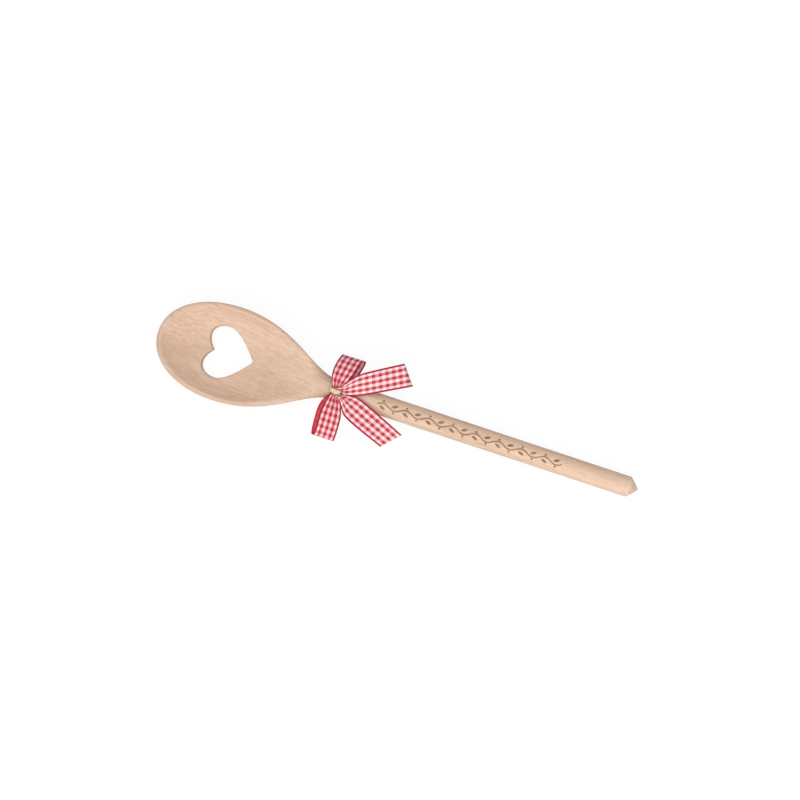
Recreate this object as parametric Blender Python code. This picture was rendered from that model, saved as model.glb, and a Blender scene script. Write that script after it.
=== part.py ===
"""Beech cooking spoon with a heart cut through its bowl and a checked ribbon bow wired to its neck.

Metres, +Z up. The spoon lies on a table at z = 0 with its hollow side up, on the flat of its back and
on the end of its handle. +X runs from the bowl's tip to the handle's point, and x = 0 is half way.
"From the tip" means measured along X from the bowl's tip. The bow is modelled in its own frame, whose
X is the handle's axis, whose Z points up and whose origin is on that axis at the bow's waist.
"""

import math

import bmesh
import bpy
from mathutils import Vector
from mathutils.geometry import interpolate_bezier

# Spoon, seen from above
SPOON_LENGTH = 0.300
BOWL_WIDTH = 0.0576
BOWL_WIDEST_AT = 0.043  # from the tip
TIP_ROUNDNESS = 2.1  # power of the tip's curve: 2 is an ellipse
SHOULDER_PULL = 0.034  # handle of the shoulder's curve at the widest place: how long the bowl stays wide
NECK_PULL = 0.014  # handle of the same curve at the neck
NECK_AT = 0.108  # from the tip, where the round handle starts
NECK_DIAMETER = 0.0128
END_DIAMETER = 0.0124
POINT_LENGTH = 0.0056  # the cone that ends the handle

# Spoon, seen from the side
NECK_LIFT = 0.0035  # from the table to the underside of the neck
END_LIFT = 0.00005  # from the table to the underside of the handle's end
BOWL_ROUNDS_BY = 0.55  # share of the bowl's swell at which the round handle has become a bowl
RIM_RISE = 0.0003  # of the rim's flat above the top of the neck
RIM_EDGE = 0.0008  # rounding of the rim's outer edge
KEEL_AT = 0.040  # from the tip, where the back is at full depth
KEEL_END_AT = 0.064  # from the tip, where the back starts to rise to the neck
BACK_ROUNDNESS = 2.2  # power of the back's curve
BACK_FLAT_DEPTH = 0.0010  # what is sanded off the back to lay it flat

# Hollow of the bowl
RIM_WIDTH = 0.0027  # round the tip
NECK_RIM_WIDTH = 0.0038  # beside the hollow's narrow end
HOLLOW_DEPTH = 0.0095
HOLLOW_DEEPEST_AT = 0.050  # from the tip
HOLLOW_END_AT = 0.1005  # from the tip, where the hollow runs out on the neck
HOLLOW_STEEPNESS = 3.2  # power of the dish: higher is a flatter floor and steeper walls
HOLLOW_FADES_FROM = 0.052  # from the tip, where the floor starts to rise to the neck
HOLLOW_FADE = 0.78  # share of the depth that is lost by the narrow end
HOLLOW_END_ROUND = 0.016  # length of the rounding of the narrow end
HOLLOW_OVERHANG = 1.08  # of the cutter beyond the rim's inner edge

# Heart cut through the floor of the bowl, its point towards the handle
HEART_NOTCH_AT = 0.0337  # from the tip
HEART_LENGTH = 0.0245  # from the notch to the point
HEART_WIDTH = 0.0312
HEART_WIDEST = 0.0052  # from the notch to the widest place
LOBE_PULL = Vector((-0.0082, 0.0093))  # Bezier handle at the notch
LOBE_FULLNESS = 0.0085  # Bezier handle before the widest place
SIDE_FULLNESS = 0.0056  # Bezier handle after the widest place
POINT_PULL = Vector((-0.0065, 0.0087))  # Bezier handle at the point

# Ribbon
RIBBON_WIDTH = 0.0125
RIBBON_THICKNESS = 0.0004
GATHERED_WIDTH = 0.0042  # of the ribbon where the tie pinches it
PLEATS = 3  # waves across the ribbon
WAIST_PLEAT = 0.0004  # height of a wave under the tie
PLEAT_SHARE = 0.55  # of the spare width that goes into waves beside the tie
CLEARANCE = 0.0003  # between pieces that lie on each other

# Bow
WAIST_AT = 0.111  # from the tip
UPPER_LOOP_REACH = 0.0212
LOWER_LOOP_REACH = 0.0278
UPPER_LOOP_LEAN = math.radians(10)  # away from square to the handle, towards its end
LOWER_LOOP_LEAN = math.radians(4)
UPPER_LOOP_ROLL = math.radians(16)  # turned about its own length, to show the inside on one edge
LOWER_LOOP_ROLL = math.radians(-16)
UPPER_LOOP_DROOP = 0.0080
LOWER_LOOP_DROOP = 0.0055
LOOP_SWELL = 0.0027  # how far each layer of a loop stands off its middle
LOOP_SPREAD = 0.0085  # length over which a gathered loop opens to its full width
UPPER_TAIL_LENGTH = 0.0401
LOWER_TAIL_LENGTH = 0.0395
UPPER_TAIL_ANGLE = math.radians(28)  # from the handle's axis
LOWER_TAIL_ANGLE = math.radians(-20)
UPPER_TAIL_CUT = math.radians(9.5)  # slant of the cut end
LOWER_TAIL_CUT = math.radians(21.5)
TAIL_BEND = 0.0045  # radius in which the gathered strip turns at the waist
TAIL_ARCH = 0.0022  # how far a tail rises to clear the loop below it
TAIL_FALL = 0.0060  # how far its end lies below the waist
TAIL_SPREAD = 0.0095

# Tie
WIRE_DIAMETER = 0.0007
WIRE_GAP = 0.0005  # least gap between two strands
WAIST_TURNS = 3
WAIST_CORNER = 4  # power of the turn's rounded box: higher has squarer corners
TWIST_TURNS = 2
TWIST_PITCH = 0.0042
TWIST_ORBIT = 0.00066  # of each strand about the other
WRAP_STARTS_AT = 0.75  # share of a turn's half length beside the waist where the wire leaves it
WRAP_DEGREES = (25, 45, 65, 85, 105, 125, 145, 165)  # places of the wire round the neck, from its top

# Facets
SECTION_POINTS = 36
TIP_STATIONS = 14
SHOULDER_STATIONS = 20
HANDLE_STATIONS = 8
HOLLOW_POINTS = 48
HOLLOW_RINGS = 9
RING_CROWDING = 1.2  # above 1 the rings are closer together near the rim
HEART_POINTS = 11  # along each of the four curves of the outline
RIBBON_COLUMNS = 12
LOOP_STATIONS = 22
TAIL_STATIONS = 14
BEND_STATIONS = 6
TURN_POINTS = 24
HALVINGS = 30  # of the search for a place on the shoulder's curve
CREASE = math.radians(35)  # edges folded more than this are shaded sharp
SQUARE_EDGE = math.radians(60)  # edges of the rim's flat folded more than this are rounded

# Worked out from the sizes above
NECK_RADIUS = NECK_DIAMETER / 2
END_RADIUS = END_DIAMETER / 2
POINT_AT = SPOON_LENGTH - POINT_LENGTH
NECK_HEIGHT = NECK_LIFT + NECK_RADIUS  # of the handle's axis at the neck
END_HEIGHT = END_LIFT + END_RADIUS
HANDLE_SLOPE = (END_HEIGHT - NECK_HEIGHT) / (POINT_AT - NECK_AT)
RIM_HEIGHT = NECK_HEIGHT + NECK_RADIUS + RIM_RISE
TRIM = 0.0002  # what the blank stands above the rim before the rim is cut flat
TOP_SPARE = 0.0015


def smooth(share):
    """Ease from 0 to 1."""
    share = min(max(share, 0.0), 1.0)
    return share * share * (3.0 - 2.0 * share)


def mix(low, high, share):
    return low + (high - low) * share


def power_curve(share, power):
    """Quarter of a superellipse: 0 at the end and 1 at the crown."""
    return (1.0 - (1.0 - share) ** power) ** (1.0 / power)


def signed_power(value, power):
    return math.copysign(abs(value) ** power, value)


def placed(from_tip, y, z):
    """A point of the spoon in the model's frame."""
    return Vector((from_tip - SPOON_LENGTH / 2, y, z))


def material(name, colour, roughness, metallic=0.0):
    made = bpy.data.materials.new(name)
    made.use_nodes = True
    shader = made.node_tree.nodes["Principled BSDF"]
    shader.inputs["Base Color"].default_value = (*colour, 1.0)
    shader.inputs["Roughness"].default_value = roughness
    shader.inputs["Metallic"].default_value = metallic
    made.diffuse_color = (*colour, 1.0)
    return made


def object_from(bm, name):
    """A new object that holds the bmesh, with its faces pointing out."""
    bmesh.ops.recalc_face_normals(bm, faces=bm.faces)
    mesh = bpy.data.meshes.new(name)
    bm.to_mesh(mesh)
    bm.free()
    mesh.shade_smooth()
    mesh.set_sharp_from_angle(angle=CREASE)
    made = bpy.data.objects.new(name, mesh)
    bpy.context.scene.collection.objects.link(made)
    return made


def loft(bm, sections):
    """Skin a row of closed sections that have the same number of points."""
    rings = [[bm.verts.new(point) for point in section] for section in sections]
    for ring, following in zip(rings, rings[1:]):
        for i in range(len(ring)):
            j = (i + 1) % len(ring)
            bm.faces.new((ring[i], ring[j], following[j], following[i]))
    return rings


def close_to_point(bm, ring, point):
    """Close the end of a loft with a fan of triangles."""
    pole = bm.verts.new(point)
    for i in range(len(ring)):
        bm.faces.new((ring[i], ring[(i + 1) % len(ring)], pole))


def cut_away(target, cutter, name):
    cutter.hide_render = True
    cutter.display_type = "WIRE"
    cutter.parent = target
    boolean = target.modifiers.new(name, "BOOLEAN")
    boolean.operation = "DIFFERENCE"
    boolean.solver = "EXACT"
    boolean.object = cutter


def handle_radius(from_tip):
    share = (from_tip - NECK_AT) / (POINT_AT - NECK_AT)
    return mix(NECK_RADIUS, END_RADIUS, max(share, 0.0))


def axis_height(from_tip):
    """Height of the handle's axis, which falls from the neck to the end and is level under the bowl."""
    return NECK_HEIGHT + HANDLE_SLOPE * max(from_tip - NECK_AT, 0.0)


def shoulder_share(from_tip):
    """Share of the shoulder's Bezier curve at which it has come this far from the tip."""
    handles = BOWL_WIDEST_AT + SHOULDER_PULL, NECK_AT - NECK_PULL
    low, high = 0.0, 1.0
    for _ in range(HALVINGS):
        share = (low + high) / 2
        back = 1 - share
        reached = back**3 * BOWL_WIDEST_AT + share**3 * NECK_AT
        reached += 3 * back * share * (back * handles[0] + share * handles[1])
        low, high = (share, high) if reached < from_tip else (low, share)
    return share


def plan_half_width(from_tip):
    """Half the width of bowl, shoulder and handle, seen from above."""
    if from_tip <= BOWL_WIDEST_AT:
        return BOWL_WIDTH / 2 * power_curve(from_tip / BOWL_WIDEST_AT, TIP_ROUNDNESS)
    if from_tip >= NECK_AT:
        return handle_radius(from_tip)
    return mix(BOWL_WIDTH / 2, NECK_RADIUS, smooth(shoulder_share(from_tip)))


def back_height(from_tip):
    """Height of the back's lowest line before it is sanded flat."""
    if from_tip <= KEEL_AT:
        depth = RIM_HEIGHT + TRIM + BACK_FLAT_DEPTH
        return RIM_HEIGHT + TRIM - depth * power_curve(from_tip / KEEL_AT, BACK_ROUNDNESS)
    rise = smooth((from_tip - KEEL_END_AT) / (NECK_AT - KEEL_END_AT))
    return mix(-BACK_FLAT_DEPTH, axis_height(from_tip) - handle_radius(from_tip), rise)


def spoon_section(from_tip):
    """Section of the blank: a circle on the handle, a shallow boat with a domed lid on the bowl."""
    half = plan_half_width(from_tip)
    radius = handle_radius(from_tip)
    swell = (half - radius) / (BOWL_WIDTH / 2 - NECK_RADIUS)
    bowl = smooth(swell / BOWL_ROUNDS_BY) if from_tip > BOWL_WIDEST_AT else 1.0
    middle = mix(axis_height(from_tip), RIM_HEIGHT + TRIM, bowl)
    depth = middle - back_height(from_tip)
    lid = mix(radius, TOP_SPARE * 2 * half / BOWL_WIDTH, bowl)
    under = 2.0 / mix(2.0, BACK_ROUNDNESS, bowl)
    points = []
    for i in range(SECTION_POINTS):
        turn = 2 * math.pi * i / SECTION_POINTS
        across, up = math.cos(turn), math.sin(turn)
        if up >= 0:
            points.append(placed(from_tip, half * across, middle + lid * up))
        else:
            y = half * signed_power(across, under)
            points.append(placed(from_tip, y, middle + depth * signed_power(up, under)))
    return points


def spoon_stations():
    """Distances from the tip at which the blank has a section, close together where it curves most."""
    tip = [BOWL_WIDEST_AT * (1 - math.cos(math.pi / 2 * i / TIP_STATIONS)) for i in range(1, TIP_STATIONS)]
    shoulder = [mix(BOWL_WIDEST_AT, NECK_AT, i / SHOULDER_STATIONS) for i in range(SHOULDER_STATIONS)]
    handle = [mix(NECK_AT, POINT_AT, i / HANDLE_STATIONS) for i in range(HANDLE_STATIONS + 1)]
    return tip + shoulder + handle


def cut_flat(bm, height, upwards):
    """Cut off all that is above or below a height, close the cut with one face and return its edges."""
    made = bmesh.ops.bisect_plane(
        bm,
        geom=bm.verts[:] + bm.edges[:] + bm.faces[:],
        dist=1e-7,
        plane_co=(0, 0, height),
        plane_no=(0, 0, 1),
        clear_outer=upwards,
        clear_inner=not upwards,
    )
    edges = [item for item in made["geom_cut"] if isinstance(item, bmesh.types.BMEdge)]
    bmesh.ops.edgeloop_fill(bm, edges=edges)
    return edges


def spoon_blank():
    """Bowl, neck and handle with the rim and the back cut flat, before anything is cut out."""
    bm = bmesh.new()
    rings = loft(bm, [spoon_section(x) for x in spoon_stations()])
    close_to_point(bm, rings[0], placed(0.0, 0.0, RIM_HEIGHT + TRIM))
    close_to_point(bm, rings[-1], placed(SPOON_LENGTH, 0.0, axis_height(SPOON_LENGTH)))
    cut_flat(bm, 0.0, upwards=False)
    rim = cut_flat(bm, RIM_HEIGHT, upwards=True)
    bmesh.ops.recalc_face_normals(bm, faces=bm.faces)
    square = [edge for edge in rim if edge.calc_face_angle(0.0) > SQUARE_EDGE]
    bmesh.ops.bevel(bm, geom=square, offset=RIM_EDGE, segments=2, profile=0.5, affect="EDGES")
    return object_from(bm, "spoon")


def hollow_half_width(from_tip):
    """Half the width of the hollow at the rim, seen from above."""
    if from_tip <= BOWL_WIDEST_AT:
        inwards = (from_tip - RIM_WIDTH) / (BOWL_WIDEST_AT - RIM_WIDTH)
        return (BOWL_WIDTH / 2 - RIM_WIDTH) * power_curve(inwards, TIP_ROUNDNESS)
    along = (from_tip - BOWL_WIDEST_AT) / (HOLLOW_END_AT - BOWL_WIDEST_AT)
    to_end = max(from_tip - (HOLLOW_END_AT - HOLLOW_END_ROUND), 0.0) / HOLLOW_END_ROUND
    inside_rim = plan_half_width(from_tip) - mix(RIM_WIDTH, NECK_RIM_WIDTH, smooth(along))
    return inside_rim * math.sqrt(max(1.0 - to_end**2, 0.0))


def hollow_outline():
    """Inner edge of the rim, seen from above, with its points closest together at both ends."""
    count = HOLLOW_POINTS // 2
    shares = [0.5 * (1 - math.cos(math.pi * i / count)) for i in range(count + 1)]
    distances = [mix(RIM_WIDTH, HOLLOW_END_AT, share) for share in shares]
    upper = [Vector((from_tip, hollow_half_width(from_tip))) for from_tip in distances]
    lower = [Vector((point.x, -point.y)) for point in upper[-2:0:-1]]
    return upper + lower


def hollow_cutter():
    """The dish: the rim's inner edge drawn in ring by ring to the deepest point."""
    deepest = Vector((HOLLOW_DEEPEST_AT, 0.0))
    outline = hollow_outline()

    def point_inside(edge, share):
        place = deepest.lerp(edge, share)
        fading = smooth((place.x - HOLLOW_FADES_FROM) / (HOLLOW_END_AT - HOLLOW_FADES_FROM))
        depth = HOLLOW_DEPTH * (1 - HOLLOW_FADE * fading)
        return placed(*place, RIM_HEIGHT - depth * (1 - share**HOLLOW_STEEPNESS))

    shares = [HOLLOW_OVERHANG] + [1 - (i / HOLLOW_RINGS) ** RING_CROWDING for i in range(HOLLOW_RINGS)]
    bm = bmesh.new()
    rings = loft(bm, [[point_inside(edge, share) for edge in outline] for share in shares])
    bm.faces.new(rings[0])
    close_to_point(bm, rings[-1], point_inside(deepest, 0.0))
    return object_from(bm, "hollow_cutter")


def heart_outline():
    notch = Vector((HEART_NOTCH_AT, 0.0))
    point = Vector((HEART_NOTCH_AT + HEART_LENGTH, 0.0))
    side = Vector((HEART_NOTCH_AT + HEART_WIDEST, HEART_WIDTH / 2))
    lobe = interpolate_bezier(
        notch, notch + LOBE_PULL, side - Vector((LOBE_FULLNESS, 0)), side, HEART_POINTS
    )
    flank = interpolate_bezier(
        side, side + Vector((SIDE_FULLNESS, 0)), point + POINT_PULL, point, HEART_POINTS
    )
    upper = lobe + flank[1:]
    lower = [Vector((p.x, -p.y)) for p in upper[-2:0:-1]]
    return upper + lower


def heart_cutter():
    outline = heart_outline()
    bm = bmesh.new()
    below, above = -NECK_LIFT, RIM_HEIGHT + NECK_LIFT
    rings = loft(bm, [[placed(p.x, p.y, height) for p in outline] for height in (below, above)])
    for ring in rings:
        bm.faces.new(ring)
    return object_from(bm, "heart_cutter")


def spoon():
    made = spoon_blank()
    cut_away(made, hollow_cutter(), "hollow of the bowl")
    cut_away(made, heart_cutter(), "heart")
    made.data.materials.append(material("beech", (0.76, 0.53, 0.36), 0.6))
    return made


# Heights in the bow's frame, from the handle's axis up
WAIST_RADIUS = handle_radius(WAIST_AT)
LAYER_HALF = WAIST_PLEAT + RIBBON_THICKNESS / 2
LAYER_STEP = 2 * LAYER_HALF + CLEARANCE
UNDER_WIRE = WAIST_RADIUS + CLEARANCE + WIRE_DIAMETER / 2
BACK_LAYER = UNDER_WIRE + WIRE_DIAMETER / 2 + CLEARANCE + LAYER_HALF
FRONT_LAYER = BACK_LAYER + LAYER_STEP
TAIL_LAYER = FRONT_LAYER + LAYER_STEP
OVER_WIRE = TAIL_LAYER + LAYER_HALF + CLEARANCE + WIRE_DIAMETER / 2
WIRE_STEP = WIRE_DIAMETER + WIRE_GAP
TIE_HALF_WIDTH = (WAIST_TURNS * WIRE_STEP + WIRE_DIAMETER) / 2
BEND_IN_TIE = TAIL_BEND * (1 - math.cos(TIE_HALF_WIDTH / TAIL_BEND))
TURN_HALF_LENGTH = GATHERED_WIDTH / 2 + BEND_IN_TIE + CLEARANCE + WIRE_DIAMETER
WRAP_OFFSET = WRAP_STARTS_AT * TURN_HALF_LENGTH


def strip(name, stations):
    """A ribbon from its stations: each has a centre, a side direction, a half width and a pleat height."""
    bm = bmesh.new()
    columns = [2 * j / RIBBON_COLUMNS - 1 for j in range(RIBBON_COLUMNS + 1)]
    sections = []
    for i, (centre, side, half, pleat) in enumerate(stations):
        along = stations[min(i + 1, len(stations) - 1)][0] - stations[max(i - 1, 0)][0]
        up = along.cross(side).normalized()
        row = [centre + side * half * t + up * pleat * math.cos(PLEATS * math.pi * t) for t in columns]
        face = [point + up * RIBBON_THICKNESS / 2 for point in row]
        back = [point - up * RIBBON_THICKNESS / 2 for point in row]
        sections.append(face + back[::-1])
    rings = loft(bm, sections)
    for ring in (rings[0], rings[-1]):
        for j in range(RIBBON_COLUMNS):
            bm.faces.new((ring[j], ring[j + 1], ring[-2 - j], ring[-1 - j]))
    return object_from(bm, name)


def gathered(beyond, spread):
    """Half width and pleat height of a ribbon at a distance beyond where it is pinched together."""
    opened = smooth(beyond / spread)
    width = mix(GATHERED_WIDTH, RIBBON_WIDTH, opened)
    spare = math.sqrt(max((RIBBON_WIDTH / width) ** 2 - 1, 0.0))
    beside = PLEAT_SHARE * width / (4 * PLEATS) * spare
    return width / 2, mix(WAIST_PLEAT, beside, smooth(3 * beyond / spread))


def loop_station(turn, way, reach, lean, roll, droop):
    """One station of a loop. turn runs from 0 on the front layer at the waist to pi on the back layer."""
    along = reach * math.sin(turn)
    away = smooth((along - TIE_HALF_WIDTH) / (2 * TIE_HALF_WIDTH + LOOP_SPREAD / 4))
    rolled = roll * away
    stand = LAYER_STEP / 2 * math.cos(turn) + LOOP_SWELL * math.sin(2 * turn) * away
    out = Vector((-math.sin(rolled), 0, math.cos(rolled)))
    middle = Vector((
        math.tan(lean) * along * away,
        way * along,
        (BACK_LAYER + FRONT_LAYER) / 2 - droop * (along / reach) ** 2,
    ))
    half, pleat = gathered(along - TIE_HALF_WIDTH, LOOP_SPREAD)
    return middle + out * stand, Vector((math.cos(rolled), 0, math.sin(rolled))), half, pleat


def loop_strip_path():
    """Stations of the loop strip: back of the upper loop, both front layers, back of the lower loop."""
    upper = (1, UPPER_LOOP_REACH, UPPER_LOOP_LEAN, UPPER_LOOP_ROLL, UPPER_LOOP_DROOP)
    lower = (-1, LOWER_LOOP_REACH, LOWER_LOOP_LEAN, LOWER_LOOP_ROLL, LOWER_LOOP_DROOP)
    split = CLEARANCE / UPPER_LOOP_REACH
    turns = [mix(split, math.pi, i / LOOP_STATIONS) for i in range(LOOP_STATIONS + 1)]
    outward = [loop_station(math.pi - turn, *upper) for turn in turns]
    back = [loop_station(math.pi - turn, *lower) for turn in reversed(turns)]
    return outward[:-1] + back


def bow_loops():
    made = strip("bow_loops", loop_strip_path())
    made.data.materials.append(material("checked ribbon loops", (0.78, 0.25, 0.28), 0.75))
    return made


def tail_half(way, angle, length, cut):
    """Stations of one tail from the waist out: round a bend at the tie, then straight to the cut end."""
    bend = TAIL_BEND * (math.pi / 2 - abs(angle))
    heading = Vector((math.cos(angle), math.sin(angle), 0))
    steps = [bend * i / BEND_STATIONS for i in range(BEND_STATIONS)]
    steps += [bend + length * i / TAIL_STATIONS for i in range(TAIL_STATIONS + 1)]
    stations = []
    for distance in steps:
        straight = max(distance - bend, 0.0)
        turned = min(distance, bend) / TAIL_BEND
        round_bend = Vector((1 - math.cos(turned), way * math.sin(turned), 0)) * TAIL_BEND
        centre = round_bend + heading * straight
        rise = TAIL_ARCH * smooth((distance - TIE_HALF_WIDTH) / (bend + TAIL_BEND))
        fall = (TAIL_FALL + TAIL_ARCH) * (straight / length) ** 2
        centre.z = TAIL_LAYER + rise - fall
        square = Vector((math.cos(turned), -way * math.sin(turned), 0))
        side = square + heading * math.tan(cut) * straight / length
        stations.append((centre, side, *gathered(straight, TAIL_SPREAD)))
    return stations


def bow_tails():
    upper = tail_half(1, UPPER_TAIL_ANGLE, UPPER_TAIL_LENGTH, UPPER_TAIL_CUT)
    lower = tail_half(-1, LOWER_TAIL_ANGLE, LOWER_TAIL_LENGTH, LOWER_TAIL_CUT)
    made = strip("bow_tails", upper[:0:-1] + lower)
    made.data.materials.append(material("checked ribbon tails", (0.84, 0.36, 0.38), 0.75))
    return made


def smooth_path(points, steps):
    """A curve through all the points, as a row of closer points."""
    tangents = []
    for i, point in enumerate(points):
        before, after = points[max(i - 1, 0)], points[min(i + 1, len(points) - 1)]
        tangents.append((after - before) / ((point - before).length + (after - point).length))
    path = []
    for i in range(len(points) - 1):
        start, end = points[i], points[i + 1]
        third = (end - start).length / 3
        handles = start + tangents[i] * third, end - tangents[i + 1] * third
        path += interpolate_bezier(start, *handles, end, steps + 1)[:-1]
    return path + [points[-1]]


def waist_turns():
    """Turns of the wire round the gathered ribbons, starting and ending under them."""
    half_high = (OVER_WIRE - UNDER_WIRE) / 2
    power = 2.0 / WAIST_CORNER
    count = WAIST_TURNS * TURN_POINTS // 2
    points = []
    for i in range(count + 1):
        share = i / count
        turn = 2 * math.pi * WAIST_TURNS * share - math.pi / 2
        points.append(Vector((
            TURN_HALF_LENGTH * signed_power(math.cos(turn), power),
            WAIST_TURNS * WIRE_STEP * (share - 0.5),
            UNDER_WIRE + half_high * (1 + signed_power(math.sin(turn), power)),
        )))
    return points


def neck_wrap(way):
    """Half a turn of the wire round one side of the neck, from beside the waist down to the underside."""
    points = []
    for degrees in WRAP_DEGREES:
        turn = math.radians(degrees)
        share = (degrees - WRAP_DEGREES[0]) / (WRAP_DEGREES[-1] - WRAP_DEGREES[0])
        x = way * WRAP_OFFSET * (1 - smooth(share))
        points.append(Vector((x, way * UNDER_WIRE * math.sin(turn), UNDER_WIRE * math.cos(turn))))
    return points


def twisted_end(way):
    """One of the two strands that are twisted together under the neck."""
    depth = UNDER_WIRE + TWIST_ORBIT + WIRE_GAP / 2
    count = TWIST_TURNS * TURN_POINTS // 3
    points = []
    for i in range(count + 1):
        turn = 2 * math.pi * TWIST_TURNS * i / count
        x = TWIST_PITCH * (TWIST_TURNS * i / count + 0.5)
        y = way * TWIST_ORBIT * math.cos(turn)
        points.append(Vector((x, y, way * TWIST_ORBIT * math.sin(turn) - depth)))
    return points


def least_gap(path, diameter):
    """Least gap between stretches of a wire that are more than a half turn of its smallest loop apart."""
    apart = [0.0]
    for start, end in zip(path, path[1:]):
        apart.append(apart[-1] + (end - start).length)
    least = math.inf
    for i, start in enumerate(path):
        for j in range(i + 1, len(path)):
            if apart[j] - apart[i] > 2 * math.pi * diameter:
                least = min(least, (path[j] - start).length - diameter)
    return least


def tie_wire():
    """One wire: twisted end, up one side of the neck, round the waist, down the other side, twisted end."""
    first = neck_wrap(-1) + twisted_end(-1)
    last = neck_wrap(1) + twisted_end(1)
    path = smooth_path(first[::-1] + waist_turns() + last, 2)
    print(f"tie wire: least gap to itself {least_gap(path, WIRE_DIAMETER) * 1000:.2f} mm")
    curve = bpy.data.curves.new("tie_wire", "CURVE")
    curve.dimensions = "3D"
    curve.bevel_depth = WIRE_DIAMETER / 2
    curve.bevel_resolution = 1
    curve.use_fill_caps = True
    line = curve.splines.new("POLY")
    line.points.add(len(path) - 1)
    for point, place in zip(line.points, path):
        point.co = (*place, 1.0)
    made = bpy.data.objects.new("tie_wire", curve)
    bpy.context.scene.collection.objects.link(made)
    made.data.materials.append(material("gold wire", (0.80, 0.66, 0.36), 0.35, 1.0))
    return made


def bow():
    """The ribbons and their wire, on an empty that stands on the handle's axis at the bow's waist."""
    pivot = bpy.data.objects.new("bow_pivot", None)
    pivot.location = placed(WAIST_AT, 0.0, axis_height(WAIST_AT))
    pivot.rotation_euler = (0.0, -math.atan(HANDLE_SLOPE), 0.0)
    bpy.context.scene.collection.objects.link(pivot)
    for piece in (bow_loops(), bow_tails(), tie_wire()):
        piece.parent = pivot


def main():
    for old in list(bpy.data.objects):
        bpy.data.objects.remove(old)
    spoon()
    bow()


main()
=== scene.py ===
"""Looks of a beech cooking spoon with a heart in its bowl and a checked ribbon bow at its neck.

Metres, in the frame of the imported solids: x runs along the spoon from the bowl's tip to the handle's end
with x = 0 half way, z = 0 is the table. "From the tip" means measured along x from the bowl's tip.
"""

import logging
import math
from collections.abc import Callable, Iterator
from contextlib import contextmanager
from dataclasses import dataclass, field
from enum import Enum
from typing import Any

import bpy
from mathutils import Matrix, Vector
from mathutils.geometry import interpolate_bezier


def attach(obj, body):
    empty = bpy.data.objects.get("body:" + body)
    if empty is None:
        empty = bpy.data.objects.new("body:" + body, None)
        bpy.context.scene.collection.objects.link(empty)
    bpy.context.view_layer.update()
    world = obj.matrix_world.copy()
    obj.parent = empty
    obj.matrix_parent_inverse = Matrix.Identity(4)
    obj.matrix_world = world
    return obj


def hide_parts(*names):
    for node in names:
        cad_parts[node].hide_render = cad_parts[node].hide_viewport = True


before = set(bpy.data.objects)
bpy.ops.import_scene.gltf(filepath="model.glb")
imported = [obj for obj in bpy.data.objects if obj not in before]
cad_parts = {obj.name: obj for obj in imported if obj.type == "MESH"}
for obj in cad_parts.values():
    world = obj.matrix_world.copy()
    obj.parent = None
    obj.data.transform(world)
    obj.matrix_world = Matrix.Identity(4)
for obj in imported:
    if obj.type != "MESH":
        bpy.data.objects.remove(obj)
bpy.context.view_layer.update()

log = logging.getLogger("spoon")

SPOON_LENGTH = 0.300
RIBBON_WIDTH = 0.0128
# Where the bow is tied: distance from the tip, distance to the side, and height of the neck's axis
WAIST = (0.1104, -0.0010)
NECK_AXIS = 0.00984
HALVINGS = 30
MERGE_DISTANCE = 1e-6
BISECT_DISTANCE = 1e-7


class Body(Enum):
    """Moving bodies of the part."""

    SPOON = "spoon"
    BOW = "bow"


class Slot(Enum):
    """Material slots of the part's record."""

    BEECH = "beech"
    RIBBON = "ribbon"
    WIRE = "gold_wire"


class Side(Enum):
    """Side of the handle that a loop or a tail is on: the way of +y or of -y."""

    UPPER = 1
    LOWER = -1


def linear(colour: str) -> tuple[float, float, float, float]:
    """Turn a colour as written on screen into the values a shader takes.

    Args:
        colour: sRGB colour such as "#DDB99B".

    Returns:
        Linear red, green, blue and an alpha of 1.
    """
    parts = [int(colour[i : i + 2], 16) / 255 for i in (1, 3, 5)]
    low, high = [p / 12.92 for p in parts], [((p + 0.055) / 1.055) ** 2.4 for p in parts]
    red, green, blue = (l if p <= 0.04045 else h for p, l, h in zip(parts, low, high))
    return red, green, blue, 1.0


def add_node(tree: bpy.types.NodeTree, kind: str, sockets: dict, **settings: Any) -> bpy.types.Node:
    """Add a shader node.

    Args:
        tree: node tree that gets the node.
        kind: the node's type without its "ShaderNode" start.
        sockets: input name or number, to a value or to the output that is linked to it.
        settings: the node's own properties.

    Returns:
        The new node.
    """
    node = tree.nodes.new("ShaderNode" + kind)
    for name, value in settings.items():
        setattr(node, name, value)
    for key, value in sockets.items():
        if isinstance(value, bpy.types.NodeSocket):
            tree.links.new(value, node.inputs[key])
        else:
            node.inputs[key].default_value = value
    return node


def new_material(name: str) -> tuple[bpy.types.Material, bpy.types.NodeTree, bpy.types.Node]:
    """Start a material.

    Args:
        name: the real material's name.

    Returns:
        The material, its node tree and its Principled shader.
    """
    material = bpy.data.materials.new(name)
    material.use_nodes = True
    return material, material.node_tree, material.node_tree.nodes["Principled BSDF"]


def smooth(share: float) -> float:
    """Ease from 0 to 1."""
    share = min(max(share, 0.0), 1.0)
    return share * share * (3.0 - 2.0 * share)


def mix(low: float, high: float, share: float) -> float:
    """Value between two others."""
    return low + (high - low) * share


def power_curve(share: float, power: float) -> float:
    """Quarter of a superellipse: 0 at the end and 1 at the crown."""
    return (1.0 - (1.0 - share) ** power) ** (1.0 / power)


def signed_power(value: float, power: float) -> float:
    """Power of a number that keeps its sign."""
    return math.copysign(abs(value) ** power, value)


def placed(from_tip: float, y: float, z: float) -> Vector:
    """A point in the part's frame, from its distance from the bowl's tip."""
    return Vector((from_tip - SPOON_LENGTH / 2, y, z))


def only(piece: bpy.types.Object) -> None:
    """Make a piece the one that operators act on.

    Args:
        piece: the piece.
    """
    bpy.ops.object.select_all(action="DESELECT")
    piece.select_set(True)
    bpy.context.view_layer.objects.active = piece


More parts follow.
